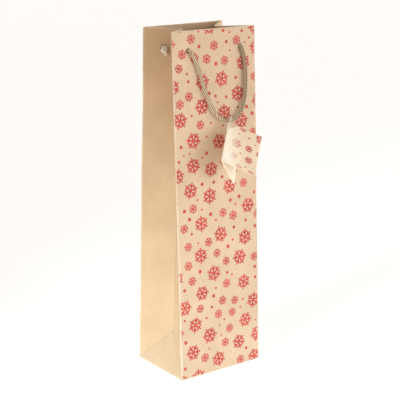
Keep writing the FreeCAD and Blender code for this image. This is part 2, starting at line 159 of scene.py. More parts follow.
# -------- paper sheets
def sheet(name, outer, inner, material, skip=(), wear_and_highlight=None, art=None, motifs=None):
    """A closed sheet from two grids of points, its outer and its inner face.

    skip holds the cells that are cut out. wear_and_highlight is a number for each grid point: scuffing, and a
    painted highlight where it is near 1. art gives each grid point's place in the print, or None, and motifs
    is the print laid on the outer face.
    """
    rows, cols = len(outer), len(outer[0])
    cells = [(i, j) for i in range(rows - 1) for j in range(cols - 1) if (i, j) not in skip]
    have = set(cells)
    index, points, wear_and_highlight_values, places = {}, [], [], []
    for i, j in cells:
        for key in ring_of(i, j):
            if key not in index:
                index[key] = len(points)
                points.append(outer[key[0]][key[1]])
                wear_and_highlight_values.append(wear_and_highlight[key[0]][key[1]] if wear_and_highlight else 0.0)
                places.append(art[key[0]][key[1]] if art else None)
    count = len(points)
    points += [inner[i][j] for i, j in index]
    faces, smooth_face = [], []
    for i, j in cells:
        ring = [index[k] for k in ring_of(i, j)]
        faces.append(ring)
        faces.append([v + count for v in reversed(ring)])
        smooth_face += [True, True]
        sides = (((i - 1, j), (i, j), (i, j + 1)), ((i, j + 1), (i, j + 1), (i + 1, j + 1)),
                 ((i + 1, j), (i + 1, j + 1), (i + 1, j)), ((i, j - 1), (i + 1, j), (i, j)))
        for beside, a, b in sides:
            if beside not in have:
                va, vb = index[a], index[b]
                faces.append([vb, va, va + count, vb + count])
                smooth_face.append(False)
    mesh = bpy.data.meshes.new(name)
    mesh.from_pydata([p * MM for p in points], [], faces)
    mesh.polygons.foreach_set("use_smooth", smooth_face)
    attribute = mesh.attributes.new("wear_and_highlight", "FLOAT", "POINT")
    attribute.data.foreach_set("value", wear_and_highlight_values + wear_and_highlight_values)
    if motifs:
        lay_print(mesh, len(cells), places, motifs)
    mesh.update()
    return finish_mesh(name, mesh, material)


def lay_print(mesh, cell_count, places, motifs):
    """Each printed face takes the coordinates of the motif nearest to it, whose outline the material draws."""
    layer = mesh.uv_layers.new(name="motif")
    kinds = mesh.attributes.new("kind", "FLOAT", "FACE")
    grid = {}
    for m in motifs:
        reach = m[2] + 12
        for gx in range(int((m[0] - reach) // 10), int((m[0] + reach) // 10) + 1):
            for gy in range(int((m[1] - reach) // 10), int((m[1] + reach) // 10) + 1):
                grid.setdefault((gx, gy), []).append(m)
    done = 0
    for face in mesh.polygons:
        if done == cell_count:
            break
        if face.vertices[0] >= len(places) or not face.use_smooth:
            continue
        done += 1
        corners = [places[v] for v in face.vertices]
        if None in corners:
            continue
        cx = sum(c[0] for c in corners) / 4
        cy = sum(c[1] for c in corners) / 4
        near = grid.get((int(cx // 10), int(cy // 10)))
        if not near:
            continue
        best = min(near, key=lambda m: math.hypot(cx - m[0], cy - m[1]) - m[2])
        kinds.data[face.index].value = best[4]
        cos, sin = math.cos(best[3]), math.sin(best[3])
        for loop, (x, y) in zip(face.loop_indices, corners):
            dx, dy = (x - best[0]) / best[2], (y - best[1]) / best[2]
            layer.data[loop].uv = (dx * cos + dy * sin, dy * cos - dx * sin)


def scatter(seed, low, high, plan):
    """Motifs at random without overlap: (x, y, radius, turn, kind), the larger ones first."""
    rng = random.Random(seed)
    placed = []
    for kind, count, r_low, r_high, gap in plan:
        for _ in range(count):
            radius = rng.uniform(r_low, r_high)
            best, best_room = None, gap
            for _ in range(60):
                x, y = rng.uniform(low[0], high[0]), rng.uniform(low[1], high[1])
                room = min((math.hypot(x - m[0], y - m[1]) - m[2] - radius for m in placed), default=gap + 1)
                room = min(room, gap + rng.uniform(0.8, 3.4))
                if room > best_room:
                    best, best_room = (x, y), room
            if best:
                placed.append((best[0], best[1], radius, rng.uniform(0, math.tau), kind))
    return placed


BIG, SMALL, DOT, SPECK = 1.0, 2.0, 3.0, 4.0
PANEL_PLAN = [(BIG, 50, 9.0, 9.8, 1.9), (SMALL, 52, 5.4, 6.0, 1.8), (DOT, 52, 1.9, 2.6, 1.8),
              (DOT, 48, 1.2, 1.7, 1.8), (SPECK, 44, 0.5, 0.8, 1.8)]
TAG_PLAN = [(BIG, 2, 6.4, 7.0, 2.2), (SMALL, 9, 4.4, 5.0, 2.0), (DOT, 10, 0.9, 1.4, 1.8),
            (SPECK, 8, 0.5, 0.7, 1.7)]


def punched(xs, ys, holes, radius):
    """The cells inside round holes, and where the grid's points move to so that the holes come out round."""
    moved = {}
    for i, y in enumerate(ys):
        for j, x in enumerate(xs):
            for hx, hy in holes:
                far = math.hypot(x - hx, y - hy)
                if far < radius + 0.6 * CELL:
                    inside = far < radius - 0.6 * CELL
                    scale = 1.0 if inside else radius / far
                    moved[(i, j)] = (hx + (x - hx) * scale, hy + (y - hy) * scale, inside)
    gone = set()
    for i in range(len(ys) - 1):
        for j in range(len(xs) - 1):
            corners = [moved.get(k) for k in ring_of(i, j)]
            if all(corners):
                cx = sum(c[0] for c in corners) / 4
                cy = sum(c[1] for c in corners) / 4
                if any(math.hypot(cx - hx, cy - hy) < radius for hx, hy in holes):
                    gone.add((i, j))
    return moved, gone


PANEL_HOLES = [(-HOLE_X, HOLE_S), (HOLE_X, HOLE_S)]


def panel_wear_and_highlight(x, s):
    """How scuffed a panel is: most along its edges and round the handle holes, and at its very edges a painted
    highlight.
    """
    edge = 1 - smooth(HALF_W - abs(x), 0.3, 2.2)
    rim = 1 - smooth(min(s, HEIGHT - s), 0.2, 1.8)
    hole = max(1 - smooth(math.hypot(x - hx, s - hy), 3.0, 4.6) for hx, hy in PANEL_HOLES)
    return max(edge, 0.8 * rim, 0.5 * hole)


def flat_strip(name, place, x_low, x_high, s_low, s_high, w_out, w_in, material, **more):
    """A flat strip that lies parallel to a panel, with the handle holes where it covers them."""
    xs, ss = steps(x_low, x_high, CELL), steps(s_low, s_high, CELL)
    moved, gone = punched(xs, ss, PANEL_HOLES, HOLE_R)
    at = [[moved.get((i, j), (x, s))[:2] for j, x in enumerate(xs)] for i, s in enumerate(ss)]
    outer = [[warp(place(panel_point(x, s, w_out))) for x, s in row] for row in at]
    inner = [[warp(place(panel_point(x, s, w_in))) for x, s in row] for row in at]
    return sheet(name, outer, inner, material, skip=gone, **more)


def panel(name, place, material, motifs):
    """The printed front or back: a sheet with its lower edge folded under and the two handle holes."""
    xs = steps(-HALF_W + STRIP, HALF_W - STRIP, CELL)
    ss = steps(0.5, HEIGHT - STRIP, CELL)
    moved, gone = punched(xs, ss, PANEL_HOLES, HOLE_R)
    outer, inner, wear_and_highlight, art = [], [], [], []
    for turn in (90, 60, 30):
        sin, cos = math.sin(math.radians(turn)), math.cos(math.radians(turn))
        s_out, w_out = 0.5 * (1 - sin), 0.5 * (1 - cos)
        s_in, w_in = s_out + PAPER * sin, w_out + PAPER * cos
        outer.append([warp(place(panel_point(x, s_out, w_out))) for x in xs])
        inner.append([warp(place(panel_point(x, s_in, w_in))) for x in xs])
        wear_and_highlight.append([1.0] * len(xs))
        art.append([(x, s_out - w_out) for x in xs])
    under = len(outer)
    for i, s in enumerate(ss):
        at = [moved.get((i, j), (x, s))[:2] for j, x in enumerate(xs)]
        outer.append([warp(place(panel_point(px, ps, 0))) for px, ps in at])
        inner.append([warp(place(panel_point(px, ps, PAPER))) for px, ps in at])
        wear_and_highlight.append([panel_wear_and_highlight(px, ps) for px, ps in at])
        art.append(at)
    skip = {(i + under, j) for i, j in gone}
    return sheet(name, outer, inner, material, skip=skip, wear_and_highlight=wear_and_highlight, art=art, motifs=motifs)


def hem(name, place, material):
    """The top of a panel turned in over its card strip: a rolled edge and a plain inner strip."""
    roll = (2 * PAPER + CARD) / 2
    centre = HEIGHT - roll
    profile = [(HEIGHT - STRIP, 0.0, 0.0, -1.0)]
    for turn in range(0, 181, 20):
        sin, cos = math.sin(math.radians(turn)), math.cos(math.radians(turn))
        profile.append((centre + roll * sin, roll - roll * cos, sin, -cos))
    for s in reversed(steps(HEIGHT - HEM_DEPTH, centre - 1.0, CELL)):
        profile.append((s, 2 * roll, 0.0, 1.0))
    rows = []
    xs = steps(-1, 1, CELL / HALF_W)
    for s, w, ns, nw in profile:
        reach = HALF_W - STRIP if w < roll else HALF_W - 2.1
        row = []
        for x in xs:
            px, ps = x * reach, s
            if w > roll:
                for hx, hy in PANEL_HOLES:
                    far = math.hypot(px - hx, ps - hy)
                    if HOLE_R - 0.6 * CELL <= far < HOLE_R + 0.6 * CELL:
                        px, ps = hx + (px - hx) * HOLE_R / far, hy + (ps - hy) * HOLE_R / far
            row.append((px, ps, w, ns, nw))
        rows.append(row)
    holes = set()
    for i in range(len(rows) - 1):
        for j in range(len(xs) - 1):
            ring = [rows[a][b] for a, b in ring_of(i, j)]
            cx, cy = sum(c[0] for c in ring) / 4, sum(c[1] for c in ring) / 4
            if ring[0][2] > roll and any(math.hypot(cx - hx, cy - hy) < HOLE_R for hx, hy in PANEL_HOLES):
                holes.add((i, j))
    outer = [[warp(place(panel_point(x, s, w))) for x, s, w, _, _ in row] for row in rows]
    inner = [[warp(place(panel_point(x, s - PAPER * ns, w - PAPER * nw))) for x, s, w, ns, nw in row]
             for row in rows]
    wear_and_highlight = [[1.0 if abs(r[1] - HEIGHT) < 1.4 else 0.0 for r in row] for row in rows]
    return sheet(name, outer, inner, material, skip=holes, wear_and_highlight=wear_and_highlight)


# -------- half sides
def crease(u, z, depth):
    """The soft horizontal crease that folding the base leaves in a side, and the bulge under it."""
    line = 45.5 + 1.6 * math.sin(5.2 * u + 0.6) - 2.5 * u
    across = smooth(u, 0.0, 0.12)
    dent = math.exp(-(((z - line) / 2.6) ** 2)) - 0.75 * math.exp(-(((z - line + 8.0) / 5.0) ** 2))
    high = 0.45 * math.exp(-(((z - 205 - 9 * u) / 5.0) ** 2)) * math.sin(math.pi * u)
    return depth * across * dent + 0.5 * depth * high


def side_frame(u, z, out, depth):
    """A point of a half side: u from the panel's edge to the middle fold, out from its middle surface."""
    a, b = fold_at(z)
    angle = math.atan2(a, b)
    along = u * math.hypot(a, b)
    bow = 0.9 * math.sin(math.pi * u) * smooth(z, 60, 260)
    out = out + crease(u, z, depth) - 0.35 * (1 - u) + bow
    return along * math.sin(angle) + out * math.cos(angle), along * math.cos(angle) - out * math.sin(angle)


def side_low(u):
    """Where the diagonal crease is, up the edge."""
    return HALF_D * u / (1 + LEAN_SIN * u)


def side_profile(u, z, thick, depth):
    """(a, b) on a half side's outer face (thick 0) or inner face; u below 0 is the fold by the panel."""
    a, b = fold_at(z)
    angle = math.atan2(a, b)
    if u >= 0:
        length = math.hypot(a, b)
        start = 1.0 / length
        share = start + (1 - start) * u
        mitre = (thick - PAPER / 2) * math.tan(angle) / length
        return side_frame(share + mitre * share, z, thick - PAPER / 2, depth)
    turn = (1 + u) * (math.pi / 2 + angle)
    radius = FOLD_R - thick
    if u < -1:
        return FOLD_R + (-1 - u) * (STRIP - FOLD_R), thick
    return FOLD_R - radius * math.sin(turn), FOLD_R - radius * math.cos(turn)


ARC_US = [-2.0, -1.0, -0.84, -0.68, -0.52, -0.36, -0.2, -0.08]
SIDE_US = ARC_US + [i / 22 for i in range(23)]
SIDE_VS = steps(0, 1, 1 / 190)


def side_hole_shift(u_len, z):
    """Moves a grid point near the handle's hole onto its rim; says whether it is inside."""
    far = math.hypot(u_len - SIDE_HOLE, z - HOLE_S)
    if far < HOLE_R - 0.9:
        return u_len, z, True
    if far < HOLE_R + 0.9:
        return (SIDE_HOLE + (u_len - SIDE_HOLE) * HOLE_R / far, HOLE_S + (z - HOLE_S) * HOLE_R / far, False)
    return u_len, z, False


def half_side(name, place, material, depth, motifs, art_sign):
    """One half of a side: from the panel's folded edge to the middle fold, above the diagonal crease."""
    outer, inner, wear_and_highlight, art, flags = [], [], [], [], []
    for v in SIDE_VS:
        rows = ([], [], [], [], [])
        for u in SIDE_US:
            low = side_low(max(u, 0.0))
            z = low + (SIDE_TOP - low) * v
            inside = False
            if u > 0:
                length = math.hypot(*fold_at(z))
                start = 1.0 / length
                along = (start + (1 - start) * u) * length
                along, z, inside = side_hole_shift(along, z)
                u = (along / length - start) / (1 - start)
            points = [side_profile(u, z, thick, depth) for thick in (0.0, PAPER)]
            rows[0].append(warp(place(edge_point(points[0][0], points[0][1], z))))
            rows[1].append(warp(place(edge_point(points[1][0], points[1][1], z))))
            # Up to 1 on the folds and at the top: a painted highlight there, scuffing elsewhere.
            worn_and_highlit = 1.0 if u < 0 else max(1 - smooth(u, 0.0, 0.05), smooth(u, 0.965, 1.0))
            worn_and_highlit = max(worn_and_highlit, 0.8 * (1 - smooth(v, 0.0, 0.006)), 0.7 * smooth(z, SIDE_TOP - 1.2, SIDE_TOP))
            rows[2].append(worn_and_highlit)
            reach = max(u, 0) * 40 - (1 + min(u, 0)) * 0.9 if u >= -1 else -STRIP
            rows[3].append((art_sign * (HALF_W + reach), z) if u <= 0.03 else None)
            rows[4].append(inside)
        for target, row in zip((outer, inner, wear_and_highlight, art, flags), rows):
            target.append(row)
    return sheet(name, outer, inner, material, skip=cells_at(flags), wear_and_highlight=wear_and_highlight, art=art, motifs=motifs)


def side_hem(name, place, material, depth):
    """The top of a half side turned in: a rolled edge and a strip down its inner face."""
    roll = 0.375
    centre = HEIGHT - 0.15 - roll
    profile = [(SIDE_TOP, 0.0, 0.0, -1.0)]
    for turn in range(0, 181, 30):
        sin, cos = math.sin(math.radians(turn)), math.cos(math.radians(turn))
        profile.append((centre + roll * sin, roll - roll * cos, sin, -cos))
    for z in reversed(steps(HEIGHT - HEM_DEPTH, centre - 1.0, 1.25)):
        profile.append((z, 2 * roll, 0.0, 1.0))
    alongs = steps(1.5, 43.0, 1.25)
    outer, inner, wear_and_highlight, flags = [], [], [], []
    for z, out, nz, nout in profile:
        rows = ([], [], [], [])
        for along in alongs:
            length = math.hypot(*fold_at(z))
            reach = 1.2 if out < roll else 3.5
            end = length - (0.2 if out < roll else 1.6)
            s = reach + (end - reach) * (along - 1.5) / 41.5
            hz, inside = z, False
            if out > roll:
                s, hz, inside = side_hole_shift(s, z)
            for k, sink in enumerate((0.0, PAPER)):
                zz = hz - sink * nz
                a, b = side_frame(s / length, zz, out - PAPER / 2 - sink * nout, depth)
                rows[k].append(warp(place(edge_point(a, b, zz))))
            rows[2].append(1.0 if abs(z - HEIGHT) < 1.0 else 0.0)
            rows[3].append(inside)
        for target, row in zip((outer, inner, wear_and_highlight, flags), rows):
            target.append(row)
    return sheet(name, outer, inner, material, skip=cells_at(flags), wear_and_highlight=wear_and_highlight)


def base_triangle(name, place, material):
    """The triangle of a side that leans in over the base, up to the diagonal creases."""
    outer, inner, wear_and_highlight = [], [], []
    lift = Vector((math.cos(GUSSET_LEAN), 0, -math.sin(GUSSET_LEAN))) * PAPER
    for i in range(31):
        u = i / 30
        z = side_low(u)
        a, b = u * fold_at(z)[0], z
        corner = edge_point(a, b, z)
        rows = ([], [], [])
        for j in range(41):
            v = -1 + j / 20
            puff = 0.7 * math.sin(math.pi * min(u + 0.02, 1)) * (1 - v * v)
            p = Vector((corner.x - puff, corner.y * v, corner.z))
            rows[0].append(warp(place(p)))
            rows[1].append(warp(place(p + lift * (1 - 0.6 * u))))
            worn_and_highlit = max(1 - smooth(u, 0, 0.05), smooth(u, 0.94, 1))
            rows[2].append(max(smooth(abs(v) * (1 - 0.15 * u), 0.93, 1.0), worn_and_highlit))
        for target, row in zip((outer, inner, wear_and_highlight), rows):
            target.append(row)
    return sheet(name, outer, inner, material, wear_and_highlight=wear_and_highlight)


# -------- materials
class Nodes:
    """Short calls for building a material's nodes. An input may be a number, a colour or a socket."""

    def __init__(self, name):
        self.material = bpy.data.materials.new(name)
        self.material.use_nodes = True
        self.tree = self.material.node_tree
        self.shader = self.tree.nodes["Principled BSDF"]
        self.coords = self.add("ShaderNodeTexCoord").outputs["Object"]

    def add(self, kind, **settings):
        node = self.tree.nodes.new(kind)
        for key, item in settings.items():
            setattr(node, key, item)
        return node

    def put(self, socket, item):
        if isinstance(item, bpy.types.NodeSocket):
            self.tree.links.new(item, socket)
        else:
            socket.default_value = item

    def math(self, operation, a, b=0.0, c=0.0, clamp=False):
        node = self.add("ShaderNodeMath", operation=operation, use_clamp=clamp)
        for socket, item in zip(node.inputs, (a, b, c)):
            self.put(socket, item)
        return node.outputs[0]

    def vector(self, operation, a, b=None):
        node = self.add("ShaderNodeVectorMath", operation=operation)
        self.put(node.inputs[0], a)
        if b is not None:
            self.put(node.inputs[1], b)
        return node.outputs["Value" if operation in ("LENGTH", "DOT_PRODUCT") else "Vector"]

    def mix(self, factor, a, b):
        node = self.add("ShaderNodeMix", data_type="RGBA")
        self.put(node.inputs[0], factor)
        self.put(node.inputs[6], a)
        self.put(node.inputs[7], b)
        return node.outputs[2]

    def noise(self, scale, detail=3.0, rough=0.5, stretch=(1, 1, 1)):
        node = self.add("ShaderNodeTexNoise")
        self.put(node.inputs["Scale"], scale)
        self.put(node.inputs["Detail"], detail)
        self.put(node.inputs["Roughness"], rough)
        source = self.coords
        if stretch != (1, 1, 1):
            source = self.vector("MULTIPLY", source, stretch)
        self.put(node.inputs["Vector"], source)
        return node.outputs["Fac"]

    def step(self, value, low, high):
        """0 below low, 1 above high, or the other way round."""
        node = self.add("ShaderNodeMapRange", interpolation_type="SMOOTHSTEP", clamp=True)
        self.put(node.inputs["Value"], value)
        limits = (low, high, 0.0, 1.0) if low < high else (high, low, 1.0, 0.0)
        for key, item in zip(("From Min", "From Max", "To Min", "To Max"), limits):
            self.put(node.inputs[key], item)
        return node.outputs["Result"]

    def attribute(self, name, output="Fac"):
        return self.add("ShaderNodeAttribute", attribute_name=name).outputs[output]

    def finish(self, colour, roughness, height, strength, distance):
        self.put(self.shader.inputs["Base Color"], colour)
        self.put(self.shader.inputs["Roughness"], roughness)
        bump = self.add("ShaderNodeBump")
        self.put(bump.inputs["Strength"], strength)
        self.put(bump.inputs["Distance"], distance)
        self.put(bump.inputs["Height"], height)
        self.put(self.shader.inputs["Normal"], bump.outputs[0])
        return self.material


def segment(n, point, start, angle, length):
    """Distance from point to a line that leaves the arm at start, in units of the flake's radius."""
    way = (math.cos(math.radians(angle)), math.sin(math.radians(angle)), 0.0)
    off = n.vector("SUBTRACT", point, (start, 0.0, 0.0))
    along = n.math("MINIMUM", n.math("MAXIMUM", n.vector("DOT_PRODUCT", off, way), 0.0), length)
    foot = n.add("ShaderNodeVectorMath", operation="SCALE")
    foot.inputs[0].default_value = way
    n.put(foot.inputs["Scale"], along)
    return n.vector("LENGTH", n.vector("SUBTRACT", off, foot.outputs["Vector"]))


def ink_mask(n):
    """How much ink a printed face has: six-armed flakes in two sizes, and dots."""
    uv = n.attribute("motif", "Vector")
    kind = n.attribute("kind")
    rough_edge = n.math("MULTIPLY", n.math("SUBTRACT", n.noise(1600.0, 2.0), 0.5), 0.03)
    split = n.add("ShaderNodeSeparateXYZ")
    n.put(split.inputs[0], uv)
    radius = n.vector("LENGTH", uv)
    angle = n.math("ARCTAN2", split.outputs[1], split.outputs[0])
    sixth = math.pi / 3
    turned = n.math("ABSOLUTE", n.math("WRAP", angle, sixth / 2, -sixth / 2))
    arm = n.add("ShaderNodeCombineXYZ")
    n.put(arm.inputs[0], n.math("MULTIPLY", radius, n.math("COSINE", turned)))
    n.put(arm.inputs[1], n.math("MULTIPLY", radius, n.math("SINE", turned)))
    point = arm.outputs[0]

    def ink(lines, width):
        far = lines[0]
        for other in lines[1:]:
            far = n.math("MINIMUM", far, other)
        return n.step(n.math("ADD", far, rough_edge), width + 0.02, width - 0.02)

    big = ink([segment(n, point, 0.0, 0, 0.95), segment(n, point, 0.46, 48, 0.38)], 0.102)
    small = ink([segment(n, point, 0.10, 0, 0.84), segment(n, point, 0.50, 52, 0.38)], 0.098)
    ring = n.math("ABSOLUTE", n.math("SUBTRACT", radius, 0.24))
    small = n.math("MAXIMUM", small, n.step(ring, 0.12, 0.08))
    dot = n.step(n.math("ADD", radius, rough_edge), 0.96, 0.86)
    is_big, is_small, is_dot, is_speck = (n.math("COMPARE", kind, k, 0.1) for k in (BIG, SMALL, DOT, SPECK))
    red = n.math("ADD", n.math("MULTIPLY", big, is_big), n.math("MULTIPLY", small, is_small))
    red = n.math("ADD", red, n.math("MULTIPLY", dot, is_dot), clamp=True)
    return red, n.math("MULTIPLY", dot, is_speck)


# Light cream for scuffed edges and for the painted highlight along folds and edges.
RUB_AND_HIGHLIGHT_PAPER = (0.93, 0.85, 0.70, 1)
PAINTED_GLARE_PAPER = (0.93, 0.86, 0.74, 1)
PAPER_SPECK = (0.20, 0.12, 0.06, 1)
RED_INK = ((0.44, 0.044, 0.038, 1), (0.54, 0.062, 0.054, 1))
OLIVE_INK = (0.20, 0.17, 0.09, 1)


def kraft(name, colour, printed=False, pale=0.0):
    """Kraft paper: long fibres, clouds of tone, dark specks, scuffed edges and a painted highlight along folds
    and edges; printed if asked, with a painted glare where pale is given.
    """
    n = Nodes(name)
    light = tuple(min(1.0, c * 1.16 + 0.03) for c in colour)
    dark = tuple(c * 0.84 for c in colour)
    clouds = n.noise(22.0, 4.0, 0.55)
    across = n.noise(260.0, 4.0, 0.6, (1.0, 1.0, 7.0))
    upward = n.noise(300.0, 3.0, 0.6, (6.0, 6.0, 0.8))
    grain = n.noise(1500.0, 2.0, 0.6)
    fibre = n.math("ADD", n.math("MULTIPLY", across, 0.6), n.math("MULTIPLY", upward, 0.4))
    tone = n.math("ADD", n.math("MULTIPLY", clouds, 0.5), n.math("MULTIPLY", fibre, 0.5))
    base = n.mix(n.step(tone, 0.34, 0.66), (*dark, 1), (*light, 1))
    base = n.mix(0.55, base, (*colour, 1))
    specks = n.add("ShaderNodeTexVoronoi", feature="F1")
    n.put(specks.inputs["Scale"], 420.0)
    n.put(specks.inputs["Vector"], n.coords)
    rare = n.step(n.noise(900.0, 1.0), 0.62, 0.68)
    speck = n.math("MULTIPLY", n.step(specks.outputs["Distance"], 0.22, 0.10), rare)
    base = n.mix(n.math("MULTIPLY", speck, 0.35), base, PAPER_SPECK)
    rub = n.math("MULTIPLY", n.attribute("wear_and_highlight"), n.step(n.noise(420.0, 3.0), 0.30, 0.62))
    roughness = n.math("ADD", 0.74, n.math("MULTIPLY", grain, 0.18))
    if printed:
        red, olive = ink_mask(n)
        cover = n.math("SUBTRACT", 1.0, n.math("MULTIPLY", rub, 0.75))
        patchy = n.math("ADD", 0.80, n.math("MULTIPLY", n.noise(700.0, 3.0, 0.6), 0.32), clamp=True)
        # Painted glare: the ink is washed out towards the tag's spine.
        if pale:
            kept = n.math("SUBTRACT", 1.0, n.math("MULTIPLY", n.attribute("painted_glare"), 0.45))
            patchy = n.math("MULTIPLY", patchy, kept)
        red_tone = n.mix(n.step(n.noise(60.0, 3.0), 0.35, 0.65), *RED_INK)
        base = n.mix(n.math("MULTIPLY", red, n.math("MULTIPLY", patchy, cover)), base, red_tone)
        base = n.mix(n.math("MULTIPLY", olive, 0.75), base, OLIVE_INK)
        roughness = n.math("SUBTRACT", roughness, n.math("MULTIPLY", red, 0.16))
    # Painted highlight: where the value is near 1, on folds and at edges, the paper is lightened evenly; the
    # noisy rub is scuffing.
    fold = n.step(n.attribute("wear_and_highlight"), 0.80, 1.0)
    rub_and_highlight = n.math("ADD", n.math("MULTIPLY", rub, 0.30), n.math("MULTIPLY", fold, 0.15))
    base = n.mix(rub_and_highlight, base, RUB_AND_HIGHLIGHT_PAPER)
    # Painted glare: the paper is lightened to cream towards the tag's spine.
    if pale:
        base = n.mix(n.math("MULTIPLY", n.attribute("painted_glare"), pale), base, PAINTED_GLARE_PAPER)
    n.shader.inputs["Specular IOR Level"].default_value = 0.32
    height = n.math("ADD", n.math("MULTIPLY", fibre, 0.6), n.math("MULTIPLY", grain, 0.4))
    return n.finish(base, roughness, height, 0.45, 0.00012)


def board(name, colour):
    """Grey board: coarse mottled pulp."""
    n = Nodes(name)
    pulp = n.noise(240.0, 5.0, 0.65)
    flecks = n.step(n.noise(1100.0, 2.0), 0.62, 0.70)
    base = n.mix(pulp, (*[c * 0.82 for c in colour], 1), (*[min(1, c * 1.15) for c in colour], 1))
    base = n.mix(n.math("MULTIPLY", flecks, 0.4), base, (0.22, 0.20, 0.18, 1))
    return n.finish(base, n.math("ADD", 0.82, n.math("MULTIPLY", pulp, 0.12)), pulp, 0.5, 0.0002)


def rope_material(name, dark, light, light_share=0.5):
    """Twisted cord: strands in two colours, each of fine yarns, with stray fibres and painted shade in the
    grooves.
    """
    n = Nodes(name)
    uv = n.attribute("rope", "Vector")
    split = n.add("ShaderNodeSeparateXYZ")
    n.put(split.inputs[0], uv)
    strand, along = split.outputs[0], split.outputs[1]
    within = n.math("FRACT", strand)
    parity = n.step(within, 0.56, 0.64)
    groove = n.math("ABSOLUTE", n.math("SUBTRACT", within, 0.5))
    yarn = n.math("SINE", n.math("ADD", n.math("MULTIPLY", within, 26.0), n.math("MULTIPLY", along, 5.5)))
    yarn = n.math("ADD", n.math("MULTIPLY", yarn, 0.5), 0.5)
    blotch = n.noise(180.0, 3.0)
    tint = n.math("ADD", n.attribute("tint"), n.math("MULTIPLY", n.math("SUBTRACT", blotch, 0.5), 0.4))
    other = n.math("SUBTRACT", 1.0, tint)
    picked = n.math("ADD", n.math("MULTIPLY", n.math("SUBTRACT", 1.0, parity), tint),
                    n.math("MULTIPLY", parity, other), clamp=True)
    picked = n.step(n.math("ADD", picked, light_share - 0.5), 0.1, 0.9)
    base = n.mix(picked, (*dark, 1), (*light, 1))
    base = n.mix(n.math("MULTIPLY", yarn, 0.22), base, (*[c * 0.55 for c in dark], 1))
    # Painted shade: the grooves between the strands are darkened.
    base = n.mix(n.math("MULTIPLY", n.step(groove, 0.34, 0.42), 0.9), base, (*[c * 0.35 for c in dark], 1))
    fuzz = n.noise(2600.0, 2.0)
    pale = (*[min(1, c * 1.1 + 0.04) for c in light], 1)
    base = n.mix(n.math("MULTIPLY", n.step(fuzz, 0.60, 0.72), 0.15), base, pale)
    n.shader.inputs["Sheen Weight"].default_value = 0.04
    n.shader.inputs["Sheen Roughness"].default_value = 0.5
    height = n.math("ADD", n.math("MULTIPLY", yarn, 0.6), n.math("MULTIPLY", fuzz, 0.5))
    return n.finish(base, n.math("ADD", 0.66, n.math("MULTIPLY", fuzz, 0.25)), height, 0.6, 0.0003)


KRAFT = (0.60, 0.44, 0.295)
printed_kraft = kraft("printed_kraft", KRAFT, printed=True)
# The sides' kraft is darker and browner than the panels' kraft: painted shade.
side_kraft = kraft("side_kraft", (0.585, 0.395, 0.235), printed=True)
plain_kraft = kraft("plain_kraft", (0.585, 0.41, 0.26))
# pale sets how strong the painted glare near the tag's spine is.
tag_print = kraft("tag_print", (0.76, 0.60, 0.42), printed=True, pale=0.65)
tag_plain = kraft("tag_plain", (0.84, 0.73, 0.56))
grey_board = board("grey_board", (0.50, 0.46, 0.41))
cord_rope = rope_material("cord_rope", (0.11, 0.045, 0.014), (1.0, 0.80, 0.52))
# The knots are the same cord in a much lighter colour: painted light on them in the shaded side cavity.
knot_rope = rope_material("knot_rope", (0.78, 0.60, 0.38), (1.0, 0.93, 0.78), 0.8)
string_rope = rope_material("string_rope", (0.62, 0.50, 0.34), (0.90, 0.83, 0.68), 0.8)


# -------- cords
def spline_points(name, points):
    """Points along the smooth NURBS line through a cord's route, in millimetres."""
    curve = bpy.data.curves.new(f"{name}_line", "CURVE")
    curve.dimensions = "3D"
    line = curve.splines.new("NURBS")
    line.points.add(len(points) - 1)
    for knot, p in zip(line.points, points):
        knot.co = (*p, 1.0)
    line.order_u = 3
    line.use_endpoint_u = True
    line.resolution_u = 24
    obj = bpy.data.objects.new(f"{name}_line", curve)
    mesh = bpy.data.meshes.new_from_object(obj)
    found = [v.co.copy() for v in mesh.vertices]
    bpy.data.meshes.remove(mesh)
    bpy.data.objects.remove(obj)
    bpy.data.curves.remove(curve)
    return found


def evenly(points, size):
    """The same line with points a fixed distance apart."""
    gaps = [(b - a).length for a, b in zip(points, points[1:])]
    total = sum(gaps)
    count = max(2, round(total / size))
    found, k, before = [], 0, 0.0
    for i in range(count + 1):
        want = total * i / count
        while k < len(gaps) - 1 and before + gaps[k] < want:
            before += gaps[k]
            k += 1
        found.append(points[k].lerp(points[k + 1], min(1.0, (want - before) / max(gaps[k], 1e-9))))
    return found


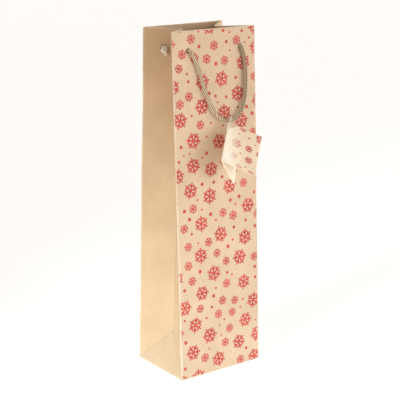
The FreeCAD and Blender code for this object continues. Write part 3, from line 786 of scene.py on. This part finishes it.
def rope_mesh(lines, material, name, strands=5, pitch=13.0, around=40, tint=None):
    """Twisted cord along lines of (points, radius at a share of the length, depth of the strands' grooves)."""
    verts, faces, uvs, tints = [], [], [], []
    for points, radius_at, depth in lines:
        count = len(points)
        ways = [(points[min(i + 1, count - 1)] - points[max(i - 1, 0)]).normalized() for i in range(count)]
        side = ways[0].orthogonal().normalized()
        run, first = 0.0, len(verts)
        runs = []
        for i in range(count):
            if i:
                run += (points[i] - points[i - 1]).length
                side = ways[i - 1].rotation_difference(ways[i]) @ side
            side = (side - ways[i] * side.dot(ways[i])).normalized()
            up = ways[i].cross(side)
            runs.append(run)
            radius = radius_at(i / (count - 1))
            for j in range(around):
                theta = math.tau * j / around
                lobe = (theta / math.tau * strands - run / pitch * strands) % 1.0 - 0.5
                r = radius - depth * (2 * lobe) ** 2 * radius / CORD_R
                verts.append(points[i] + (side * math.cos(theta) + up * math.sin(theta)) * r)
                tints.append(tint(points[i]) if tint else 0.5)
        for i in range(count - 1):
            for j in range(around):
                k = (j + 1) % around
                faces.append([first + i * around + j, first + i * around + k,
                              first + (i + 1) * around + k, first + (i + 1) * around + j])
                for row, col in ring_of(i, j):
                    uvs.append((col / around * strands - runs[row] / pitch * strands + 600.0, runs[row]))
        for i, flip in ((0, True), (count - 1, False)):
            ring = [first + i * around + j for j in range(around)]
            faces.append(list(reversed(ring)) if flip else ring)
            uvs += [(600.0 + 0.5, runs[i])] * around
    mesh = bpy.data.meshes.new(name)
    mesh.from_pydata([v * MM for v in verts], [], faces)
    mesh.polygons.foreach_set("use_smooth", [True] * len(faces))
    layer = mesh.uv_layers.new(name="rope")
    for loop, uv in zip(layer.data, uvs):
        loop.uv = uv
    attribute = mesh.attributes.new("tint", "FLOAT", "POINT")
    attribute.data.foreach_set("value", tints)
    mesh.update()
    return finish_mesh(name, mesh, material)


def loop_point(x, down, tilt_sin):
    """A point in the plane of the front handle's loop."""
    return Vector((x, KNUCKLE.y - down * tilt_sin, KNUCKLE.z - down * math.sqrt(1 - tilt_sin**2)))


def rounded(radius, length, both=True):
    """A radius that rounds off the ends of a cord of that length."""
    def at(share):
        end = min(share, 1 - share) if both else share
        far = max(0.0, 1 - end * length / radius)
        return radius * math.sqrt(max(0.02, 1 - far * far))
    return at


# Across from the middle and down from the holes.
FRONT_LOOP = [(-34.8, 0.0), (-33.2, 2.4), (-25.5, 18), (-18.8, 42), (-7.5, 71), (10.5, 84),
              (30, 78), (38.4, 56), (40, 31), (39, 13), (35.2, 2.3), (34.8, 0.0)]
BACK_LOOP = [(-34.8, 0.0), (-33.9, 2.5), (-31.5, 18), (-30.5, 40), (-23, 64), (-9, 79),
             (9.5, 80), (24, 65), (30, 40), (32, 17), (34.3, 2.5), (34.8, 0.0)]
FRONT_TILT = math.sin(math.radians(4.507))


def handle(name, route, body, node, tint):
    """A handle's loop of cord, from where it leaves one hole to where it goes back into the other."""
    line = evenly(spline_points(name, route), 0.8)
    length = sum((b - a).length for a, b in zip(line, line[1:]))
    obj = rope_mesh([(line, rounded(CORD_R, length), 0.42)], cord_rope, name, tint=tint)
    on_body(obj, body, node, slot="handle_cord")


def painted_light_left(p):
    """The front cord is paler on the left half of its loop: painted light."""
    return 0.98 - 0.86 * smooth(p.x, -6, 20)


front_route = [loop_point(x, d, FRONT_TILT) for x, d in FRONT_LOOP]
back_route = [half_turn(loop_point(x, d, LEAN_SIN)) for x, d in BACK_LOOP]
handle("front_handle_rope", front_route, "front_handle", "front_handle", painted_light_left)
handle("back_handle_rope", back_route, "back_handle", "back_handle", lambda p: 0.45)


# -------- leads and knots
def knot_line():
    """An overhand knot pulled tight, about 8 mm across with the cord on it."""
    points = []
    for i in range(97):
        t = math.tau * (i / 96) * 0.985
        points.append(Vector((math.sin(t) + 2 * math.sin(2 * t), math.cos(t) - 2 * math.cos(2 * t),
                              -1.25 * math.sin(3 * t))) * 0.94)
    return points


def cord_holes():
    """The centre of the hole in the front left half side, and the point where its cord leaves the panel."""
    a, b = side_frame(SIDE_HOLE / math.hypot(*fold_at(HOLE_S)), HOLE_S, 0.0, 0.0)
    return edge_point(a, b, HOLE_S), Vector((-KNUCKLE.x, KNUCKLE.y, KNUCKLE.z))


def knot_piece(name, place, body, node):
    """The cord's end behind a side: out of the hole, knotted, with a short frayed tail."""
    hole, knuckle = cord_holes()
    way = (hole - knuckle).normalized()
    centre = hole + way * 3.6 + Vector((-0.8, -0.4, -2.4))
    turn = Vector((0, 0, 1)).rotation_difference(way) @ Quaternion((0, 0, 1), 0.7)
    knot = [twist(place(centre + turn @ p)) for p in knot_line()]
    stub = evenly([twist(place(p)) for p in (hole - way * 2.0, hole + way * 3.4)], 0.8)
    tail_way = (way + Vector((0.15, 0.25, -1.25))).normalized()
    tail_steps = (tail_way * 1.0, tail_way * 4.5, tail_way * 6.8 + Vector((0.5, 0, 0.2)))
    tail = evenly([twist(place(centre + p)) for p in tail_steps], 0.6)

    def fray(share):
        return 1.95 + 0.55 * smooth(share, 0.55, 1.0)

    lines = [(knot, lambda t: 1.85, 0.35), (stub, lambda t: 2.1, 0.4), (tail, fray, 0.5)]
    obj = rope_mesh(lines, knot_rope, name, pitch=11.0, around=24)
    on_body(obj, body, node, slot="handle_cord")


def lead_piece(name, place, node):
    """The cord inside the bag, from the panel's hole to the side's hole."""
    hole, knuckle = cord_holes()
    line = evenly([place(knuckle), twist(place(hole))], 0.8)
    length = (line[-1] - line[0]).length
    obj = rope_mesh([(line, rounded(CORD_R, length, both=False), 0.42)], cord_rope, name, tint=painted_light_left)
    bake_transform(obj)
    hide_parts(node)


# -------- the paper bag
front_print = scatter(41, (-66, -6), (66, 408), PANEL_PLAN)
back_print = scatter(57, (-66, -6), (66, 408), PANEL_PLAN)


def same(p):
    return p


for side, place, motifs in (("front", same, front_print), ("back", half_turn, back_print)):
    piece = panel(f"{side}_sheet", place, printed_kraft, motifs)
    on_body(piece, side, f"{side}_panel", slot="printed_kraft")
    piece = hem(f"{side}_turned_hem", place, plain_kraft)
    on_body(piece, side, f"{side}_hem", slot="plain_kraft")
    piece = flat_strip(f"{side}_card_strip", place, -53.3, 53.3, 360.5, 398.5,
                       PAPER + 0.02, PAPER + CARD - 0.02, grey_board)
    on_body(piece, side, f"{side}_card", slot="grey_board")
piece = flat_strip("back_seam_strip", half_turn, 38.3, 53.3, 4.0, 352.0, PAPER + 0.01, 2 * PAPER, plain_kraft)
on_body(piece, "back", "back_seam_flap", slot="plain_kraft")

for side in ("front", "back"):
    for hand in ("left", "right"):
        # Shapes are drawn at the front left; a mirror, a half turn or both take them to the other corners.
        flipped = (side == "front") != (hand == "left")

        def place(p, flip=flipped, turn=side == "back"):
            p = mirror(p) if flip else p
            return half_turn(p) if turn else p

        name = f"{side}_{hand}"
        depth = {"front_left": 0.5, "front_right": 0.6, "back_left": 1.0, "back_right": 0.9}[name]
        motifs = front_print if side == "front" else back_print
        pieces = [half_side(f"{name}_half_side", place, side_kraft, depth, motifs, 1 if flipped else -1),
                  side_hem(f"{name}_turned_side_hem", place, plain_kraft, depth)]
        foot = place(Vector((-40, -20, 0)))
        for piece, node in zip(pieces, (f"{name}_side", f"{name}_side_hem")):
            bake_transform(piece)
            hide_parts(node)
        knot_piece(f"{name}_knot_rope", place, f"{name}_side", f"{name}_knot")
        lead_piece(f"{name}_lead_rope", place, f"{name}_lead")

for hand, place in (("left", same), ("right", half_turn)):
    piece = base_triangle(f"{hand}_base_gusset", place, plain_kraft)
    on_body(piece, "base", f"{hand}_base_triangle", slot="plain_kraft")

for node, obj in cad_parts.items():
    if not obj.hide_render:
        obj.data.materials.clear()
        obj.data.materials.append(grey_board if node == "base_card" else plain_kraft)

# -------- tag and string
TAG_CORNER = Vector((6.9, -47.8, 296.8))
TAG_Y = Vector((0.591, 0.530, 0.608)).normalized()
leaf_way = Vector((0.568, 0.262, -0.780))
TAG_X = (leaf_way - TAG_Y * leaf_way.dot(TAG_Y)).normalized()
TAG_Z = TAG_X.cross(TAG_Y)
TAG_OPEN = math.radians(41.4)
COVER_X = TAG_X * math.cos(TAG_OPEN) + TAG_Z * math.sin(TAG_OPEN)
COVER_Z = TAG_Z * math.cos(TAG_OPEN) - TAG_X * math.sin(TAG_OPEN)
ON_CORD = Vector((14.0, -39.135, 295.95))
TAG_SHIFT = twist(ON_CORD) - ON_CORD
TAG_W, TAG_H, TAG_T = 42.0, 56.0, 0.4
TAG_HOLE_IN, TAG_HOLE_R = 4.0, 2.2
TAG_CORNER_CUT = 10.0


def tag_point(x, y, z, cover=False):
    across, out = (COVER_X, COVER_Z) if cover else (TAG_X, TAG_Z)
    return TAG_CORNER + TAG_SHIFT + across * x + TAG_Y * y + out * z


def tag_curl(x, y, amount):
    """Thin card never lies flat: it bows along its height and curls at the free corner."""
    return amount * ((x / TAG_W) ** 2 * 1.2 + 0.8 * (x / TAG_W) * ((y + 28) / 28) ** 2)


def tag_leaf(name, cover, material, motifs=None):
    """A leaf of the tag: the back one has the string's hole, the cover has its corner at the spine cut off."""
    xs = [0.0, 0.4] + steps(0.8, TAG_W, 1.0)
    ys = steps(-TAG_H, 0.0, 1.0)
    outer, inner, wear_and_highlight, art, flags = [], [], [], [], []
    for y in ys:
        rows = ([], [], [], [], [])
        for x in xs:
            px, py, inside = x, y, False
            if not cover:
                far = math.hypot(x - TAG_HOLE_IN, y + TAG_HOLE_IN)
                inside = far < TAG_HOLE_R - 0.6
                if not inside and far < TAG_HOLE_R + 0.7:
                    px = TAG_HOLE_IN + (x - TAG_HOLE_IN) * TAG_HOLE_R / far
                    py = -TAG_HOLE_IN + (y + TAG_HOLE_IN) * TAG_HOLE_R / far
            else:
                over = (py + TAG_CORNER_CUT) - px
                if over > 0:
                    if over < 1.0:
                        px, py = px + over / 2, py - over / 2
                    else:
                        inside = True
            curl = tag_curl(px, py, 1.6 if cover else 1.1)
            face = curl + (TAG_T if cover else -TAG_T)
            rows[0].append(tag_point(px, py, face, cover))
            rows[1].append(tag_point(px, py, curl, cover))
            edge = min(TAG_W - px, py + TAG_H, -py)
            rows[2].append(max(1 - smooth(edge, 0.0, 0.8), 1 - smooth(px, 0.0, 1.2)))
            rows[3].append((px, py))
            rows[4].append(inside)
        for target, row in zip((outer, inner, wear_and_highlight, art, flags), rows):
            target.append(row)
    obj = sheet(name, outer, inner, material, skip=cells_at(flags), wear_and_highlight=wear_and_highlight, art=art, motifs=motifs)
    # A painted glare on the leaf, strongest at the spine and gone some 34 mm across.
    values = []
    for v in obj.data.vertices:
        p = v.co / MM - TAG_CORNER - TAG_SHIFT
        x, y = p.dot(COVER_X if cover else TAG_X), p.dot(TAG_Y)
        values.append(1 - smooth(x + 0.25 * (y + TAG_H), 6, 34))
    obj.data.attributes.new("painted_glare", "FLOAT", "POINT").data.foreach_set("value", values)
    return obj


tag_motifs = scatter(23, (2, -58), (44, 2), TAG_PLAN)
back_leaf = tag_leaf("tag_back_card", False, tag_plain)
on_body(back_leaf, "tag", "tag_back_leaf", slot="tag_card")
cover_leaf = tag_leaf("tag_cover_card", True, tag_print, tag_motifs)
on_body(cover_leaf, "tag_cover", "tag_cover_leaf", slot="tag_card")

tag_hole = TAG_CORNER + TAG_X * TAG_HOLE_IN - TAG_Y * TAG_HOLE_IN
STRING_X = (tag_hole - ON_CORD).normalized()
STRING_Z = (Vector((1, 0, 0)) - STRING_X * STRING_X.x).normalized()
STRING_Y = STRING_Z.cross(STRING_X)
SPAN = (tag_hole - ON_CORD).length


def string_point(x, y):
    return ON_CORD + TAG_SHIFT + STRING_X * x + STRING_Y * y


STRING_LOOP = ((6.4, -4.5), (SPAN, -4.5), (SPAN, 4.5), (-4.2, 4.5), (-4.2, -4.5), (3.6, -4.5))
string_route = [string_point(x, y) for x, y in STRING_LOOP]
string_line = evenly(spline_points("tag_string", string_route), 0.35)
string_piece = rope_mesh([(string_line, lambda t: 0.6, 0.5)], string_rope, "tag_string_rope",
                         strands=3, pitch=3.0, around=18)
on_body(string_piece, "tag_string", "tag_string", slot="string")
knot_points = [string_point(5.0, -4.5) + p * 0.36 for p in knot_line()]
ends = [[string_point(5.0, -4.5), string_point(6.2, -6.4), string_point(8.0, -8.2)],
        [string_point(5.0, -4.5), string_point(4.6, -6.8), string_point(5.4, -9.0)]]
knot_lines = [(knot_points, lambda t: 0.62, 0.5)] + [(evenly(e, 0.35), lambda t: 0.55, 0.5) for e in ends]
string_knot = rope_mesh(knot_lines, string_rope, "tag_string_knot", strands=3, pitch=3.0, around=16)
on_body(string_knot, "tag_string", "tag_knot", slot="string")

# -------- floor, light, camera
scene = bpy.context.scene
scene.view_settings.view_transform = "Standard"

WORLD_UP = (2.0, 0.69)  # the light's strength level with the floor and overhead
WORLD_LEFT = (0.36, 0.23, 0.135, 1)
WORLD_RIGHT = (1.0, 1.0, 1.0, 1)


def studio_world():
    """Soft light that is strongest near the horizon, and weaker and warmer on the left."""
    world = bpy.data.worlds.new("studio")
    scene.world = world
    world.use_nodes = True
    tree = world.node_tree
    background = tree.nodes["Background"]
    coords = tree.nodes.new("ShaderNodeTexCoord")
    split = tree.nodes.new("ShaderNodeSeparateXYZ")
    tree.links.new(coords.outputs["Generated"], split.inputs[0])

    def ramp(source, low, high, at_low, at_high):
        node = tree.nodes.new("ShaderNodeMapRange")
        node.interpolation_type = "SMOOTHSTEP"
        tree.links.new(source, node.inputs["Value"])
        for key, item in zip(("From Min", "From Max", "To Min", "To Max"), (low, high, at_low, at_high)):
            node.inputs[key].default_value = item
        return node.outputs["Result"]

    tree.links.new(ramp(split.outputs["Z"], 0.0, 0.85, *WORLD_UP), background.inputs["Strength"])
    colour = tree.nodes.new("ShaderNodeMix")
    colour.data_type = "RGBA"
    colour.inputs[6].default_value = WORLD_LEFT
    colour.inputs[7].default_value = WORLD_RIGHT
    tree.links.new(ramp(split.outputs["X"], -0.9, 0.5, 0.0, 1.0), colour.inputs[0])
    tree.links.new(colour.outputs[2], background.inputs["Color"])


studio_world()

floor_mesh = bpy.data.meshes.new("floor")
floor_corners = [(-6, -6, -0.0003), (6, -6, -0.0003), (6, 8, -0.0003), (-6, 8, -0.0003)]
floor_mesh.from_pydata(floor_corners, [], [(0, 1, 2, 3)])
floor_nodes = Nodes("floor_white")
floor_nodes.shader.inputs["Base Color"].default_value = (0.92, 0.92, 0.92, 1)
floor_nodes.shader.inputs["Roughness"].default_value = 0.9
floor_nodes.shader.inputs["Emission Color"].default_value = (1.0, 1.0, 1.0, 1)
floor_nodes.shader.inputs["Emission Strength"].default_value = 0.32
floor = finish_mesh("floor", floor_mesh, floor_nodes.material)


def soft_light(name, kind, place, target, size, power, colour):
    lamp = bpy.data.lights.new(name, kind)
    if kind == "AREA":
        lamp.shape = "DISK"
        lamp.size = size
    else:
        lamp.shadow_soft_size = size
    lamp.energy = power
    lamp.color = colour
    obj = bpy.data.objects.new(name, lamp)
    scene.collection.objects.link(obj)
    obj.location = place
    obj.rotation_euler = (Vector(target) - Vector(place)).to_track_quat("-Z", "Y").to_euler()
    return lamp


soft_light("key", "AREA", (0.70, -2.55, 0.34), (0, 0, 0.2), 1.1, 15, (0.98, 1.0, 1.0))
low = soft_light("low_fill", "SPOT", (-1.3, -0.35, 0.40), (-0.05, 0, 0.02), 0.25, 130, (0.72, 0.92, 1.0))
low.spot_size = math.radians(24)
low.spot_blend = 1.0

lens = bpy.data.cameras.new("camera")
lens.sensor_width = 36
lens.lens = 105.3
camera = bpy.data.objects.new("camera", lens)
scene.collection.objects.link(camera)
camera.location = (-0.777, -1.065, 0.556)
camera.rotation_euler = (math.radians(90 - 15.23), 0, math.radians(-36.18))
scene.camera = camera
